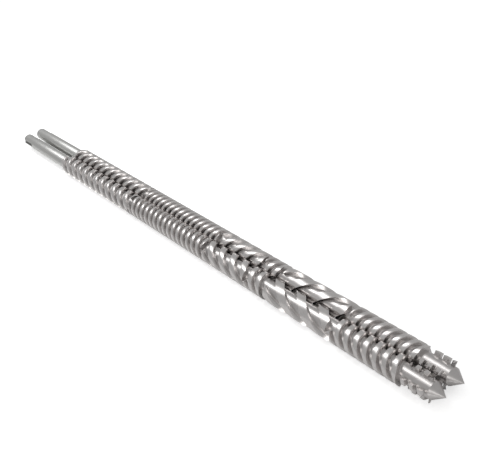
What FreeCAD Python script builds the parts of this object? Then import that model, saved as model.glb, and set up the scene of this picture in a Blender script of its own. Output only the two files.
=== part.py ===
"""Twin extruder screw pair: two intermeshing, counter-rotating parallel screws.

The pair lies on a flat surface, meshed as it runs in the barrel.  X runs along
both axes with the conical tips at +X, Y runs across the pair and Z is up.  The
origin is on the surface, under the middle of the pair.  Sizes are millimetres.

Each screw is one turned and milled piece.  The right-hand screw lies at -Y and
the left-hand screw at +Y.  In every zone the left-hand screw is the mirror
image of the right-hand one, moved on by half a flight, so that the flights of
each screw run in the channels of the other.
"""

import FreeCAD, Part
import math
import os
from collections import namedtuple

# ---------------------------------------------------------------- main sizes
SCREW_DIAMETER = 90.0        # over the flights
AXIS_SPACING = 75.0          # between the two parallel axes
NIP_GAP = 0.5                # from a crest to the root of the other screw

# ---------------------------------------------------------------- drive end
SHANK_LENGTH = 400.0         # plain seal land behind the flights
SHANK_STEP = 0.5             # of the shank above the root, per side
JOURNAL_LENGTH = 104.0       # seat of the coupling sleeve
JOURNAL_STEP = 2.0           # of the journal below the shank, per side
END_CHAMFER = 4.0
KEYWAY_WIDTH = 14.0
KEYWAY_DEPTH = 5.5
KEYWAY_ANGLE = 171.0         # right-hand screw, about the axis from +Y towards +Z

# ---------------------------------------------------------------- tip
TIP_LENGTH = 42.5
TIP_POINT_DIAMETER = 1.6

# ---------------------------------------------------------------- flights
FLANK_ANGLE = 5.0            # of each flank from the plane across the axis
FLANK_CLEARANCE = 0.8        # beside a crest edge at the nip
STEPS = 18                   # straight strips in one turn of a helical face

# Each zone holds parallel flights of one spacing and ends at a turned relief.
#   length    axial length of the flighted part
#   spacing   axial distance from one flight to the next
#   starts    number of parallel flights
#   crest     from the drive end of the zone to a crest on top of the right-hand screw
#   relief    length of the plain root that follows
Zone = namedtuple("Zone", "name length spacing starts crest relief")

ZONES = (
    Zone("feed", 674.0, 57.3, 3, 48.0, 14.0),
    Zone("compression", 563.0, 36.2, 3, 12.6, 14.0),
    Zone("shear", 265.0, 69.8, 3, 25.2, 12.0),
    Zone("barrier", 88.0, 44.1, 2, 16.5, 22.0),
    Zone("vent", 328.0, 115.2, 3, 55.4, 22.0),
    Zone("metering", 293.0, 41.8, 2, 19.4, 18.0),
    Zone("mixing", 85.0, 32.9, 2, 29.6, 9.0),
)

# The flights of the mixing zone are cut into separate teeth by straight slots.
MIXING_TEETH = 4             # teeth in one turn of a flight
MIXING_TOOTH_ANGLE = 24.0    # covered by one tooth
RIGHT_TOOTH_AT = 165.0       # middle of a tooth, from +Y towards +Z
LEFT_TOOTH_AT = 138.0

# ---------------------------------------------------------------- derived sizes
SCREW_RADIUS = SCREW_DIAMETER / 2.0
ROOT_RADIUS = AXIS_SPACING - NIP_GAP - SCREW_RADIUS
SHANK_RADIUS = ROOT_RADIUS + SHANK_STEP
JOURNAL_RADIUS = SHANK_RADIUS - JOURNAL_STEP
FLIGHTED_LENGTH = sum(zone.length + zone.relief for zone in ZONES)
SCREW_LENGTH = JOURNAL_LENGTH + SHANK_LENGTH + FLIGHTED_LENGTH + TIP_LENGTH
DRIVE_END = -SCREW_LENGTH / 2.0
SHANK_START = DRIVE_END + JOURNAL_LENGTH
FLIGHTS_START = SHANK_START + SHANK_LENGTH
TIP_START = FLIGHTS_START + FLIGHTED_LENGTH
STEP_ANGLE = 360.0 / STEPS
TOP = 90.0                   # the upper line of a screw, from +Y towards +Z
CORNER_SHIFT = 0.5           # of a step, so that the strips lie flat on the surface
AXIS_HEIGHT = SCREW_RADIUS * math.cos(math.pi / STEPS)

ALONG = FreeCAD.Vector(1, 0, 0)
AXIS_POINT = FreeCAD.Vector(0, 0, 0)


def polar(x, radius, angle):
    """Return the point at a station, radius and angle (degrees) about the axis."""
    turn = math.radians(angle)
    return FreeCAD.Vector(x, radius * math.cos(turn), radius * math.sin(turn))


def nip_skew():
    """Return the largest angle between meshing points of the two screws.

    Off the plane of the axes, a point on the crest of one screw stands at a
    larger angle about the other axis, so the helices drift apart by that angle.
    """
    largest = 0.0
    for degrees in range(1, 45):
        own = math.radians(degrees)
        across = AXIS_SPACING - SCREW_RADIUS * math.cos(own)
        height = SCREW_RADIUS * math.sin(own)
        if math.hypot(across, height) < SCREW_RADIUS:
            other = math.degrees(math.atan2(height, across))
            largest = max(largest, other - degrees)
    return largest


def strip_skew():
    """Return the angle by which a flat strip can leave its helical flank."""
    half_chord = math.sin(math.pi / STEPS) * (SCREW_RADIUS - ROOT_RADIUS) / 2.0
    return math.degrees(math.atan2(half_chord, (SCREW_RADIUS + ROOT_RADIUS) / 2.0))


def half_width(zone, radius):
    """Return half the axial width of a flight at a radius.

    The crest takes half of the spacing, less what keeps it clear of the
    flights of the other screw all the way through the nip.
    """
    lead = zone.spacing * zone.starts
    drift = lead * (nip_skew() + strip_skew()) / 360.0
    crest = zone.spacing / 2.0 - FLANK_CLEARANCE - drift
    flank = (SCREW_RADIUS - radius) * math.tan(math.radians(FLANK_ANGLE))
    return crest / 2.0 + flank


def facet(*corners):
    """Return the flat face with the given corners."""
    return Part.Face(Part.makePolygon(list(corners) + [corners[0]]))


def flight_rows(zone, crest, hand):
    """Return the four corners of a flight at every step along its helix.

    The rows overrun both ends of the zone, which starts at station 0.
    """
    advance = zone.spacing * zone.starts / STEPS
    foot = half_width(zone, ROOT_RADIUS)
    tip = half_width(zone, SCREW_RADIUS)
    first = math.floor((-foot - crest) / advance) - 1
    last = math.ceil((zone.length + foot - crest) / advance) + 1
    rows = []
    for count in range(first, last + 1):
        step = count + CORNER_SHIFT
        x = crest + step * advance
        angle = TOP + hand * step * STEP_ANGLE
        low_foot = polar(x - foot, ROOT_RADIUS, angle)
        low_tip = polar(x - tip, SCREW_RADIUS, angle)
        high_tip = polar(x + tip, SCREW_RADIUS, angle)
        high_foot = polar(x + foot, ROOT_RADIUS, angle)
        rows.append((low_foot, low_tip, high_tip, high_foot))
    return rows


def flight(zone, crest, hand):
    """Return one flight of a zone as a solid of flat strips, cut to the zone's length."""
    rows = flight_rows(zone, crest, hand)
    faces = [facet(*rows[0]), facet(*rows[-1])]
    for near, far in zip(rows, rows[1:]):
        low_foot, low_tip, high_tip, high_foot = near
        next_low_foot, next_low_tip, next_high_tip, next_high_foot = far
        faces.append(facet(low_tip, high_tip, next_high_tip, next_low_tip))
        faces.append(facet(high_foot, low_foot, next_low_foot, next_high_foot))
        faces.append(facet(low_foot, low_tip, next_low_tip))
        faces.append(facet(low_foot, next_low_tip, next_low_foot))
        faces.append(facet(high_tip, high_foot, next_high_foot))
        faces.append(facet(high_tip, next_high_foot, next_high_tip))
    blank = Part.Solid(Part.Shell(faces))
    if blank.Volume < 0.0:
        blank.reverse()
    half = SCREW_DIAMETER
    corner = FreeCAD.Vector(0, -half, -half)
    return blank.common(Part.makeBox(zone.length, 2.0 * half, 2.0 * half, corner))


def tooth_sectors(length, middle):
    """Return the sectors about the axis that the mixing slots leave standing."""
    reach = 2.0 * SCREW_RADIUS
    sectors = []
    for tooth in range(MIXING_TEETH):
        angle = middle + tooth * 360.0 / MIXING_TEETH
        low = polar(0, reach, angle - MIXING_TOOTH_ANGLE / 2.0)
        high = polar(0, reach, angle + MIXING_TOOTH_ANGLE / 2.0)
        sector = facet(AXIS_POINT, low, high)
        sectors.append(sector.extrude(ALONG * length))
    return Part.makeCompound(sectors)


def zone_flights(zone, hand):
    """Return all flights of a zone, which starts at station 0.

    Args: hand is 1 for the right-hand screw and -1 for the left-hand one,
    whose flights stand half a spacing further on.
    """
    crest = zone.crest if hand == 1 else zone.crest + zone.spacing / 2.0
    flights = []
    for start in range(zone.starts):
        flights.append(flight(zone, crest + start * zone.spacing, hand))
    if zone.name == "mixing":
        middle = RIGHT_TOOTH_AT if hand == 1 else LEFT_TOOTH_AT
        sectors = tooth_sectors(zone.length, middle)
        flights = [piece.common(sectors) for piece in flights]
    return flights


def root_section(x, radius):
    """Return the outline of the root at a station, with a corner at every step."""
    corners = [
        polar(x, radius, TOP + (step + CORNER_SHIFT) * STEP_ANGLE) for step in range(STEPS)
    ]
    return Part.makePolygon(corners + [corners[0]])


def root_core():
    """Return the root of all zones and reliefs as one bar."""
    return Part.Face(root_section(FLIGHTS_START, ROOT_RADIUS)).extrude(ALONG * FLIGHTED_LENGTH)


def drive_end(keyway_angle):
    """Return the plain shank with its chamfered journal and open keyway."""
    chamfer_radius = JOURNAL_RADIUS - END_CHAMFER
    profile = Part.makePolygon([
        FreeCAD.Vector(DRIVE_END, 0, 0),
        FreeCAD.Vector(DRIVE_END, 0, chamfer_radius),
        FreeCAD.Vector(DRIVE_END + END_CHAMFER, 0, JOURNAL_RADIUS),
        FreeCAD.Vector(SHANK_START, 0, JOURNAL_RADIUS),
        FreeCAD.Vector(SHANK_START, 0, SHANK_RADIUS),
        FreeCAD.Vector(FLIGHTS_START, 0, SHANK_RADIUS),
        FreeCAD.Vector(FLIGHTS_START, 0, 0),
        FreeCAD.Vector(DRIVE_END, 0, 0),
    ])
    shank = Part.Face(profile).revolve(AXIS_POINT, ALONG, 360.0)
    key = Part.makeBox(
        JOURNAL_LENGTH,
        2.0 * KEYWAY_DEPTH,
        KEYWAY_WIDTH,
        FreeCAD.Vector(DRIVE_END, JOURNAL_RADIUS - KEYWAY_DEPTH, -KEYWAY_WIDTH / 2.0),
    )
    key.rotate(AXIS_POINT, ALONG, keyway_angle)
    return shank.cut(key)


def tip():
    """Return the cone that ends the screw, down to its small flat point."""
    base = root_section(TIP_START, ROOT_RADIUS)
    point = root_section(TIP_START + TIP_LENGTH, TIP_POINT_DIAMETER / 2.0)
    return Part.makeLoft([base, point], True, True)


def screw(hand):
    """Return one whole screw about the X axis."""
    pieces = [tip()]
    station = FLIGHTS_START
    for zone in ZONES:
        for piece in zone_flights(zone, hand):
            piece.translate(ALONG * station)
            pieces.append(piece)
        station += zone.length + zone.relief
    keyway_angle = KEYWAY_ANGLE if hand == 1 else 180.0 - KEYWAY_ANGLE
    pieces.append(drive_end(keyway_angle))
    whole = root_core().fuse(pieces).removeSplitter()
    return whole.Solids[0]


def main():
    """Build both screws, lay them side by side on the surface and export them."""
    os.makedirs("parts", exist_ok=True)
    for name, hand in (("screw_right_hand", 1), ("screw_left_hand", -1)):
        solid = screw(hand)
        solid.translate(FreeCAD.Vector(0, -hand * AXIS_SPACING / 2.0, AXIS_HEIGHT))
        solid.exportStep("parts/" + name + ".step")
        print(name, solid.ShapeType, solid.isValid(), len(solid.Faces), round(solid.Volume))


main()
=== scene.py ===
"""Looks of the twin extruder screw pair: smooth ground flights, steel finishes, studio and view."""

import logging
import math
from dataclasses import dataclass
from enum import Enum
from typing import Optional, Sequence, Union

import bmesh
import bpy
from mathutils import Matrix, Vector


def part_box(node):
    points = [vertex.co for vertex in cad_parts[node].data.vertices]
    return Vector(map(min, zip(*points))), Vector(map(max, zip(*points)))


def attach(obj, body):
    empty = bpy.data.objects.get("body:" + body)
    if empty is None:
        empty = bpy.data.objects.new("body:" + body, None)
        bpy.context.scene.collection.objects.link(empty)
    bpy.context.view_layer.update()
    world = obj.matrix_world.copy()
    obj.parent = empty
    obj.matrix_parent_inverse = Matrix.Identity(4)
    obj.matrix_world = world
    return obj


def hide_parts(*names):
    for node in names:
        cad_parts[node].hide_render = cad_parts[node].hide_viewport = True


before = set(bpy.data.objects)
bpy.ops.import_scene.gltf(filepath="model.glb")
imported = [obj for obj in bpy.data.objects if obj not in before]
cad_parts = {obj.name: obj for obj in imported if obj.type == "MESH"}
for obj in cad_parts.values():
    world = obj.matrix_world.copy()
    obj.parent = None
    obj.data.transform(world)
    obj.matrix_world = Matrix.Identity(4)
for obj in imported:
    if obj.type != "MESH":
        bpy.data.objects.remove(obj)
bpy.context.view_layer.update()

LOG = logging.getLogger("screw_pair")
MM = 0.001
ALONG = Vector((1.0, 0.0, 0.0))
CENTRE = Vector((0.0, 0.0, 0.0))

# Sockets of a colour Mix node, by number.
MIX_FACTOR, MIX_LOW, MIX_HIGH, MIX_RESULT = 0, 6, 7, 2


class Hand(Enum):
    """Direction in which the flights of a screw wind."""

    RIGHT = 1
    LEFT = -1


class Finish(Enum):
    """Material slots of a screw, in order."""

    GROUND = 0
    SATIN = 1
    MILLED = 2


class Value:
    """A shader output that takes part in Python arithmetic."""

    def __init__(self, graph: "Graph", socket: bpy.types.NodeSocket) -> None:
        """Wrap a socket of a graph."""
        self.graph = graph
        self.socket = socket

    def maths(self, operation: str, first: "Input", second: "Input" = 0.0) -> "Value":
        """Add one Math node.

        Args:
            operation: name of the operation.
            first: first operand.
            second: second operand, where the operation has one.

        Returns:
            The result.
        """
        return self.graph.node("ShaderNodeMath", {"operation": operation}, {0: first, 1: second})

    def __add__(self, other: "Input") -> "Value":
        """Return self + other."""
        return self.maths("ADD", self, other)

    def __radd__(self, other: "Input") -> "Value":
        """Return other + self."""
        return self.maths("ADD", other, self)

    def __sub__(self, other: "Input") -> "Value":
        """Return self - other."""
        return self.maths("SUBTRACT", self, other)

    def __rsub__(self, other: "Input") -> "Value":
        """Return other - self."""
        return self.maths("SUBTRACT", other, self)

    def __mul__(self, other: "Input") -> "Value":
        """Return self * other."""
        return self.maths("MULTIPLY", self, other)

    def __rmul__(self, other: "Input") -> "Value":
        """Return other * self."""
        return self.maths("MULTIPLY", other, self)

    def root(self) -> "Value":
        """Return the square root."""
        return self.maths("SQRT", self)


Input = Union[Value, float, tuple]


class Graph:
    """Node tree of one material or world."""

    def __init__(self, tree: bpy.types.NodeTree) -> None:
        """Empty the tree and keep it."""
        self.tree = tree
        tree.nodes.clear()

    def node(self, kind: str, settings: Optional[dict] = None, inputs: Optional[dict] = None,
             output: Union[int, str] = 0) -> Optional[Value]:
        """Add any node.

        Args:
            kind: type name of the node.
            settings: attributes of the node.
            inputs: values or links, by socket name or number.
            output: name or number of the output to return.

        Returns:
            The chosen output, or nothing for a node without outputs.
        """
        made = self.tree.nodes.new(kind)
        for name, setting in (settings or {}).items():
            setattr(made, name, setting)
        for name, given in (inputs or {}).items():
            if isinstance(given, Value):
                self.tree.links.new(given.socket, made.inputs[name])
            else:
                made.inputs[name].default_value = given
        return Value(self, made.outputs[output]) if len(made.outputs) else None

    def blend(self, factor: Input, low: Input, high: Input) -> Value:
        """Mix two colours.

        Args:
            factor: 0 for the low colour, 1 for the high one.
            low: first colour.
            high: second colour.

        Returns:
            The mixed colour.
        """
        return self.node("ShaderNodeMix", {"data_type": "RGBA"}, {
            MIX_FACTOR: factor, MIX_LOW: low, MIX_HIGH: high}, MIX_RESULT)


@dataclass(frozen=True)
class Steel:
    """Steel with the fine lay that turning, milling or grinding leaves, with painted shade that
    darkens it nearer the axis.

    Noise scales are per metre. The painted shade is weaker at the tip end than at the drive end. It
    fades between two stations given in metres along the row.
    """

    name: str
    colour: tuple
    roughness: float
    lay_scale: float
    lay_strength: float
    stain: float
    # Painted shade: how much darker the colour gets in the channels, nearer the axis.
    painted_shade: float
    ripple_strength: float = 0.35
    ripple_scale: float = 45.0
    cloud_scale: float = 16.0
    smear_scale: float = 120.0
    lay_run: float = 9.0
    # Least share of the painted shade, and how much the smear noise adds to it.
    least_painted_shade: float = 0.35
    smeared_painted_shade: float = 0.9
    lay_rough: float = 0.08
    cloud_rough: float = 0.16
    root_rough: float = 0.07
    cloud_share: float = 1.6
    smear_share: float = 0.6
    stain_shift: float = -0.6
    lay_depth: float = 0.1 * MM
    ripple_depth: float = 1.0 * MM
    # The painted shade fades from full at the first station to the last share at the second
    # station, towards the tip end.
    shade_fade_start: float = -0.4
    shade_fade_end: float = 0.9
    tip_painted_shade: float = 0.35

    def make(self, axis: Vector, root: float, outer: float) -> bpy.types.Material:
        """Build the material for a screw.

        Args:
            axis: a point on the screw's axis.
            root: root radius in metres, where the painted shade is full.
            outer: crest radius in metres, where the painted shade ends.

        Returns:
            The material.
        """
        material = bpy.data.materials.new(self.name)
        material.use_nodes = True
        graph = Graph(material.node_tree)
        place = graph.node("ShaderNodeTexCoord", output="Object")
        across = graph.node("ShaderNodeSeparateXYZ", {}, {0: place}, 1) - axis.y
        above = graph.node("ShaderNodeSeparateXYZ", {}, {0: place}, 2) - axis.z
        radius = (across * across + above * above).root()
        depth = graph.node("ShaderNodeMapRange", {"clamp": True}, {
            "Value": radius, "From Min": root, "From Max": outer, "To Min": 1.0, "To Max": 0.0})
        station = graph.node("ShaderNodeSeparateXYZ", {}, {0: place}, 0)
        # Painted shade is weaker towards the tip end.
        shade_along = graph.node("ShaderNodeMapRange", {"clamp": True}, {
            "Value": station, "From Min": self.shade_fade_start, "From Max": self.shade_fade_end,
            "To Min": 1.0, "To Max": self.tip_painted_shade})
        rings = graph.node("ShaderNodeMapping", {}, {
            "Vector": place, "Scale": (self.lay_scale, self.lay_run, self.lay_run)})
        lay = graph.node("ShaderNodeTexNoise", {}, {
            "Vector": rings, "Scale": 1.0, "Detail": 3.0, "Roughness": 0.7})
        cloud = graph.node("ShaderNodeTexNoise", {}, {
            "Vector": place, "Scale": self.cloud_scale, "Detail": 6.0})
        smear = graph.node("ShaderNodeTexNoise", {}, {
            "Vector": place, "Scale": self.smear_scale, "Detail": 4.0})
        stained = tuple(channel * (1.0 - self.stain) for channel in self.colour)
        # Colour under full painted shade, standing in for shade in the channels.
        shaded_colour = tuple(channel * (1.0 - self.painted_shade) for channel in self.colour)
        patches = cloud * self.cloud_share + smear * self.smear_share + self.stain_shift
        unshaded = graph.blend(patches, (*stained, 1.0), (*self.colour, 1.0))
        # Mask of the painted shade: deeper in the channels and nearer the axis, stronger at the
        # drive end, varied by noise.
        painted_shade_mask = depth * shade_along * (self.least_painted_shade + smear * self.smeared_painted_shade)
        tint = graph.blend(painted_shade_mask, unshaded, (*shaded_colour, 1.0))
        uneven = (lay - 0.5) * self.lay_rough + (cloud - 0.5) * self.cloud_rough
        rough = uneven + depth * self.root_rough + self.roughness
        ripple = graph.node("ShaderNodeTexNoise", {}, {
            "Vector": place, "Scale": self.ripple_scale, "Detail": 2.0})
        waves = graph.node("ShaderNodeBump", {}, {
            "Height": ripple, "Strength": self.ripple_strength,
            "Distance": self.ripple_depth})
        relief = graph.node("ShaderNodeBump", {}, {
            "Height": lay, "Strength": self.lay_strength, "Distance": self.lay_depth,
            "Normal": waves})
        surface = graph.node("ShaderNodeBsdfPrincipled", {}, {
            "Base Color": tint, "Metallic": 1.0, "Roughness": rough, "Normal": relief})
        graph.node("ShaderNodeOutputMaterial", {}, {"Surface": surface})
        return material


@dataclass(frozen=True)
class Finishes:
    """The three finishes of a screw."""

    # The last number of each finish is the strength of its painted shade.
    ground: Steel = Steel("ground", (0.77, 0.743, 0.732), 0.23, 900.0, 0.10, 0.14, 0.60)
    satin: Steel = Steel("satin", (0.66, 0.66, 0.645), 0.30, 1400.0, 0.20, 0.10, 0.05)
    milled: Steel = Steel("milled", (0.38, 0.38, 0.37), 0.42, 1000.0, 0.25, 0.20, 0.30)

    def make(self, axis: Vector, root: float, outer: float) -> list[bpy.types.Material]:
        """Build the materials of one screw, as Steel.make does, in the order of Finish."""
        return [steel.make(axis, root, outer) for steel in (self.ground, self.satin, self.milled)]


@dataclass(frozen=True)
class Zone:
    """Parallel flights of one spacing, in millimetres from the zone's drive end."""

    name: str
    length: float
    spacing: float
    starts: int
    crest: float
    relief: float

    @property
    def lead(self) -> float:
        """Return the advance of a flight in one turn."""
        return self.spacing * self.starts


ZONES = (
    Zone("feed", 674.0, 57.3, 3, 48.0, 14.0),
    Zone("compression", 563.0, 36.2, 3, 12.6, 14.0),
    Zone("shear", 265.0, 69.8, 3, 25.2, 12.0),
    Zone("barrier", 88.0, 44.1, 2, 16.5, 22.0),
    Zone("vent", 328.0, 115.2, 3, 55.4, 22.0),
    Zone("metering", 293.0, 41.8, 2, 19.4, 18.0),
    Zone("mixing", 85.0, 32.9, 2, 29.6, 9.0),
)


@dataclass
class Screw:
    """One screw, ground smooth over its solid. Sizes are millimetres and degrees."""

    name: str
    node: str
    hand: Hand
    tooth_at: float
    keyway_at: float
    outer: float = 45.0
    root: float = 29.5
    shank_radius: float = 30.0
    journal_radius: float = 28.0
    journal_length: float = 104.0
    shank_length: float = 400.0
    end_chamfer: float = 4.0
    centre_hole: float = 5.0
    shank_round: float = 0.8
    tip_length: float = 42.5
    point_radius: float = 0.8
    keyway_width: float = 14.0
    keyway_depth: float = 5.5
    flank_angle: float = 5.0
    crest_clearance: float = 0.8
    drift_angle: float = 7.44
    foot_radius: float = 2.4
    edge_radius: float = 0.5
    sink: float = 1.5
    teeth: int = 4
    tooth_angle: float = 24.0
    steps: int = 72
    arc_steps: int = 4
    round_steps: int = 120
    top: float = 90.0
    crease_angle: float = 32.0
    weld: float = 0.001
    near: float = 0.1
    sunk_by: float = 0.3

    def __post_init__(self) -> None:
        """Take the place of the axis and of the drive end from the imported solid."""
        low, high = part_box(self.node)
        self.axis = (Vector(low) + Vector(high)) / 2.0
        self.drive_end = low[0] / MM

    @property
    def flights_start(self) -> float:
        """Return the station where the first zone starts."""
        return self.drive_end + self.journal_length + self.shank_length

    @property
    def tip_start(self) -> float:
        """Return the station where the cone starts."""
        return self.flights_start + sum(zone.length + zone.relief for zone in ZONES)

    def outline(self, zone: Zone) -> list[tuple[float, float]]:
        """Return the outline of a flight with filleted feet and broken crest edges.

        Args:
            zone: zone that the flight belongs to.

        Returns:
            Stations and radii round a crest at station 0.
        """
        slope = math.tan(math.radians(self.flank_angle))
        crest = zone.spacing / 2.0 - self.crest_clearance - zone.lead * self.drift_angle / 360.0
        half = crest / 2.0
        foot = half + slope * (self.outer - self.root)
        side = [(foot + self.foot_radius, self.root - self.sink)]
        for step in range(self.arc_steps + 1):
            turn = math.radians(step * (90.0 - self.flank_angle) / self.arc_steps)
            station = foot + self.foot_radius * (1.0 - math.sin(turn))
            side.append((station, self.root + self.foot_radius * (1.0 - math.cos(turn))))
        for turn in (0.0, 45.0, 90.0):
            drop = self.edge_radius * (1.0 - math.sin(math.radians(turn)))
            inset = self.edge_radius * (1.0 - math.cos(math.radians(turn)))
            side.append((half + slope * drop - inset, self.outer - drop))
        return side + [(-station, radius) for station, radius in reversed(side)]

    def sweep(self, zone: Zone, crest: float, first: float, last: float) -> bmesh.types.BMesh:
        """Sweep a stretch of one flight along its helix and cut it to the zone.

        Args:
            zone: zone that the flight belongs to.
            crest: station of a crest on the upper line.
            first: angle along the helix where the stretch starts.
            last: angle along the helix where it ends.

        Returns:
            The closed stretch, about the X axis, with the zone's drive end at station 0.
        """
        part = bmesh.new()
        start = Matrix.Rotation(math.radians(self.top + self.hand.value * first), 3, "X")
        shift = crest + first * zone.lead / 360.0
        corners = []
        for station, radius in self.outline(zone):
            place = start @ Vector((0.0, radius, 0.0)) + ALONG * (station + shift)
            corners.append(part.verts.new(place))
        loop = [part.edges.new(pair) for pair in zip(corners, corners[1:] + corners[:1])]
        count = max(2, math.ceil((last - first) * self.steps / 360.0))
        bmesh.ops.spin(
            part, geom=corners + loop, cent=CENTRE, axis=ALONG,
            dvec=ALONG * ((last - first) / count * zone.lead / 360.0),
            angle=self.hand.value * math.radians(last - first), steps=count)
        for station, side in ((0.0, -1.0), (zone.length, 1.0)):
            bmesh.ops.bisect_plane(
                part, geom=part.verts[:] + part.edges[:] + part.faces[:],
                plane_co=ALONG * station, plane_no=ALONG * side, clear_outer=True)
        bmesh.ops.holes_fill(part, edges=[edge for edge in part.edges if edge.is_boundary])
        bmesh.ops.recalc_face_normals(part, faces=part.faces)
        return part

    def stretches(self, zone: Zone, crest: float) -> list[tuple[float, float]]:
        """Return where a flight stands along its helix, in degrees.

        Args:
            zone: zone that the flight belongs to.
            crest: station of a crest on the upper line.

        Returns:
            First and last angle of each stretch.
        """
        reach = zone.spacing
        first = (-reach - crest) / zone.lead * 360.0
        last = (zone.length + reach - crest) / zone.lead * 360.0
        if zone.name != "mixing":
            return [(first, last)]
        gap = 360.0 / self.teeth
        middle = self.hand.value * (self.tooth_at - self.top)
        middle += gap * math.ceil((first - middle) / gap)
        found = []
        while middle < last:
            found.append((middle - self.tooth_angle / 2.0, middle + self.tooth_angle / 2.0))
            middle += gap
        return found

    def flights(self, whole: bmesh.types.BMesh) -> None:
        """Add every flight of every zone to the screw.

        Args:
            whole: mesh of the screw, about the X axis.
        """
        station = self.flights_start
        for zone in ZONES:
            offset = 0.0 if self.hand is Hand.RIGHT else zone.spacing / 2.0
            for start in range(zone.starts):
                crest = zone.crest + offset + start * zone.spacing
                for first, last in self.stretches(zone, crest):
                    part = self.sweep(zone, crest, first, last)
                    bmesh.ops.translate(part, verts=part.verts, vec=ALONG * station)
                    self.merge(whole, part)
            station += zone.length + zone.relief

    @staticmethod
    def merge(whole: bmesh.types.BMesh, part: bmesh.types.BMesh) -> None:
        """Copy a part into the whole and free it.

        Args:
            whole: mesh that takes the part.
            part: mesh that is freed.
        """
        mesh = bpy.data.meshes.new("part")
        part.to_mesh(mesh)
        part.free()
        whole.from_mesh(mesh)
        bpy.data.meshes.remove(mesh)

    def bar(self) -> bpy.types.Object:
        """Turn the bar: journal, shank, root of all zones and cone.

        Returns:
            The bar, about the X axis, before its keyway is cut.
        """
        end = self.drive_end
        shank = end + self.journal_length
        flights = self.flights_start
        chamfered = self.journal_radius - self.end_chamfer
        profile = [
            (end + self.centre_hole, 0.0), (end, self.centre_hole), (end, chamfered),
            (end + self.end_chamfer, self.journal_radius), (shank, self.journal_radius),
            (shank, self.shank_radius - self.shank_round),
            (shank + self.shank_round, self.shank_radius),
            (flights - self.shank_round, self.shank_radius),
            (flights, self.root), (self.tip_start, self.root),
            (self.tip_start + self.tip_length, self.point_radius),
            (self.tip_start + self.tip_length, 0.0)]
        part = bmesh.new()
        points = [part.verts.new((station, radius, 0.0)) for station, radius in profile]
        line = [part.edges.new(pair) for pair in zip(points, points[1:])]
        bmesh.ops.spin(
            part, geom=points + line, cent=CENTRE, axis=ALONG, dvec=CENTRE,
            angle=math.tau, steps=self.round_steps, use_merge=True)
        bmesh.ops.remove_doubles(part, verts=part.verts, dist=self.weld)
        bmesh.ops.recalc_face_normals(part, faces=part.faces)
        return self.to_object(self.name + "_bar", part)

    def key_block(self) -> bpy.types.Object:
        """Make the block that the keyway is cut with, open at the drive end.

        Returns:
            The block, in its place on the journal.
        """
        part = bmesh.new()
        bmesh.ops.create_cube(part, size=1.0)
        reach = self.end_chamfer
        size = Vector((self.journal_length + reach, 2.0 * self.keyway_depth, self.keyway_width))
        bmesh.ops.scale(part, verts=part.verts, vec=size)
        middle = self.drive_end + (self.journal_length - reach) / 2.0
        bmesh.ops.translate(part, verts=part.verts, vec=(middle, self.journal_radius, 0.0))
        turn = Matrix.Rotation(math.radians(self.keyway_at), 3, "X")
        bmesh.ops.rotate(part, verts=part.verts, cent=CENTRE, matrix=turn)
        return self.to_object(self.name + "_key", part)

    @staticmethod
    def to_object(name: str, part: bmesh.types.BMesh) -> bpy.types.Object:
        """Turn a bmesh into an object of the scene and free it.

        Args:
            name: name of the object and of its mesh.
            part: mesh that is freed.

        Returns:
            The new object, at the origin.
        """
        mesh = bpy.data.meshes.new(name)
        part.to_mesh(mesh)
        part.free()
        made = bpy.data.objects.new(name, mesh)
        bpy.context.scene.collection.objects.link(made)
        return made

    def keyed_bar(self) -> bmesh.types.BMesh:
        """Cut the keyway into the bar.

        Returns:
            The mesh of the cut bar, about the X axis.
        """
        bar = self.bar()
        block = self.key_block()
        cut = bar.modifiers.new("keyway", "BOOLEAN")
        cut.operation = "DIFFERENCE"
        cut.object = block
        part = bmesh.new()
        part.from_object(bar, bpy.context.evaluated_depsgraph_get())
        for made in (bar, block):
            mesh = made.data
            bpy.data.objects.remove(made)
            bpy.data.meshes.remove(mesh)
        return part

    def finish_of(self, face: bmesh.types.BMFace) -> Finish:
        """Tell which finish a face of the bar has.

        Args:
            face: face of the bar, which still lies about the X axis.

        Returns:
            Milled in the keyway, satin on the shank and journal, else ground.
        """
        centre = face.calc_center_median()
        if centre.x > self.flights_start - self.near:
            return Finish.GROUND
        local = Matrix.Rotation(math.radians(-self.keyway_at), 3, "X") @ centre
        in_width = abs(local.z) < self.keyway_width / 2.0 + self.near
        sunk = local.y > 0.0 and math.hypot(local.y, local.z) < self.journal_radius - self.sunk_by
        along = centre.x - self.drive_end
        on_journal = self.near < along < self.journal_length
        return Finish.MILLED if in_width and sunk and on_journal else Finish.SATIN

    def build(self) -> bpy.types.Object:
        """Build the screw in place of its solid.

        Returns:
            The finished object.
        """
        whole = self.keyed_bar()
        for face in whole.faces:
            face.material_index = self.finish_of(face).value
        self.flights(whole)
        bmesh.ops.translate(whole, verts=whole.verts, vec=(0.0, self.axis.y / MM, self.axis.z / MM))
        bmesh.ops.scale(whole, verts=whole.verts, vec=(MM, MM, MM))
        for face in whole.faces:
            face.smooth = True
        made = self.to_object(self.name, whole)
        made.data.set_sharp_from_angle(angle=math.radians(self.crease_angle))
        for material in Finishes().make(self.axis, self.root * MM, self.outer * MM):
            made.data.materials.append(material)
        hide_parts(self.node)
        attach(made, "root")
        LOG.info("%s: %d faces", self.name, len(made.data.polygons))
        return made


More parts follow.
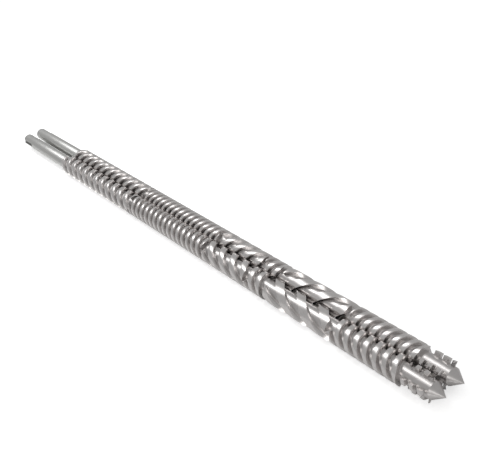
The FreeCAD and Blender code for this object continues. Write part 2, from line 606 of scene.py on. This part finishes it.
@dataclass(frozen=True)
class Lamp:
    """A soft rectangular lamp, aimed at a point. Sizes are metres."""

    name: str
    place: tuple
    aim: tuple
    size: tuple
    power: float
    colour: tuple = (1.0, 1.0, 1.0)

    def make(self) -> bpy.types.Object:
        """Add the lamp to the scene.

        Returns:
            The lamp's object.
        """
        light = bpy.data.lights.new(self.name, "AREA")
        light.shape = "RECTANGLE"
        light.size, light.size_y = self.size
        light.energy = self.power
        light.color = self.colour
        made = bpy.data.objects.new(self.name, light)
        made.location = self.place
        away = Vector(self.place) - Vector(self.aim)
        side = Vector((0.0, 1.0, 0.0)).cross(away).normalized()
        lift = away.cross(side).normalized()
        made.rotation_euler = Matrix((side, lift, away.normalized())).transposed().to_euler()
        bpy.context.scene.collection.objects.link(made)
        return made


@dataclass(frozen=True)
class Studio:
    """Pale floor, plain surroundings and soft lamps."""

    floor_size: float = 30.0
    floor_drop: float = 0.0007
    floor_tone: float = 0.93
    floor_roughness: float = 0.22
    floor_glow: float = 0.55
    surround: float = 0.47
    lamps: tuple = (
        Lamp("overhead_strip", (-1.7, -0.12, 2.5), (-1.7, -0.12, 0.0), (3.2, 0.7), 20.0),
        Lamp("overhead_soft", (-1.8, -0.12, 2.6), (-1.8, -0.12, 0.0), (3.8, 2.2), 20.0),
        Lamp("front_fill", (2.6, -3.6, 1.9), (0.2, 0.0, 0.0), (2.2, 1.4), 28.0, (1.0, 0.985, 0.97)),
    )

    def floor(self) -> bpy.types.Object:
        """Add the floor, which takes the shadow and shows white where nothing shades it.

        Returns:
            The floor's object.
        """
        part = bmesh.new()
        bmesh.ops.create_grid(part, x_segments=1, y_segments=1, size=self.floor_size / 2.0)
        bmesh.ops.translate(part, verts=part.verts, vec=(0.0, 0.0, -self.floor_drop))
        made = Screw.to_object("floor", part)
        material = bpy.data.materials.new("floor")
        material.use_nodes = True
        graph = Graph(material.node_tree)
        seen = graph.node("ShaderNodeLightPath", output="Is Camera Ray")
        glow = graph.blend(seen, (0.0, 0.0, 0.0, 1.0), (1.0, 1.0, 1.0, 1.0))
        tone = (self.floor_tone,) * 3 + (1.0,)
        surface = graph.node("ShaderNodeBsdfPrincipled", {}, {
            "Base Color": tone, "Roughness": self.floor_roughness,
            "Emission Color": glow, "Emission Strength": self.floor_glow})
        graph.node("ShaderNodeOutputMaterial", {}, {"Surface": surface})
        made.data.materials.append(material)
        return made

    def surroundings(self) -> None:
        """Set the world: white to the camera, plain grey to the steel."""
        world = bpy.data.worlds.new("studio")
        bpy.context.scene.world = world
        world.use_nodes = True
        graph = Graph(world.node_tree)
        seen = graph.node("ShaderNodeLightPath", output="Is Camera Ray")
        strength = seen * (1.0 - self.surround) + self.surround
        light = graph.node("ShaderNodeBackground", {}, {
            "Color": (1.0, 1.0, 1.0, 1.0), "Strength": strength})
        graph.node("ShaderNodeOutputWorld", {}, {"Surface": light})

    def build(self) -> None:
        """Build floor, surroundings and lamps."""
        self.floor()
        self.surroundings()
        for lamp in self.lamps:
            lamp.make()
            LOG.info("lamp %s", lamp.name)


@dataclass(frozen=True)
class View:
    """The camera, by its place and its turn about three axes in degrees."""

    place: tuple = (2.75484, -1.2475, 1.76333)
    azimuth: float = 60.56
    elevation: float = 31.80
    roll: float = 13.64
    lens: float = 60.98
    sensor: float = 36.0

    def build(self) -> bpy.types.Object:
        """Add the camera and make it the scene's own.

        Returns:
            The camera's object.
        """
        turn, lift = math.radians(self.azimuth), math.radians(self.elevation)
        level = math.cos(lift)
        back = Vector((math.sin(turn) * level, -math.cos(turn) * level, math.sin(lift)))
        right = (-back).cross(Vector((0.0, 0.0, 1.0))).normalized()
        rolled = Matrix.Rotation(math.radians(self.roll), 3, -back)
        side = rolled @ right
        upward = back.cross(side)
        camera = bpy.data.cameras.new("camera")
        camera.lens = self.lens
        camera.sensor_width = self.sensor
        camera.sensor_fit = "HORIZONTAL"
        made = bpy.data.objects.new("camera", camera)
        turned = Matrix((side, upward, back)).transposed().to_4x4()
        made.matrix_world = Matrix.Translation(Vector(self.place)) @ turned
        bpy.context.scene.collection.objects.link(made)
        bpy.context.scene.camera = made
        return made


def main() -> None:
    """Build the screws, the studio and the view, in this order."""
    logging.basicConfig(level=logging.INFO)
    screws: Sequence[Screw] = (
        Screw("ground_screw_right_hand", "screw_right_hand", Hand.RIGHT, 165.0, 171.0),
        Screw("ground_screw_left_hand", "screw_left_hand", Hand.LEFT, 138.0, 9.0),
    )
    for screw in screws:
        screw.build()
    Studio().build()
    View().build()
    bpy.context.scene.view_settings.view_transform = "Standard"


if __name__ == "__main__":
    main()
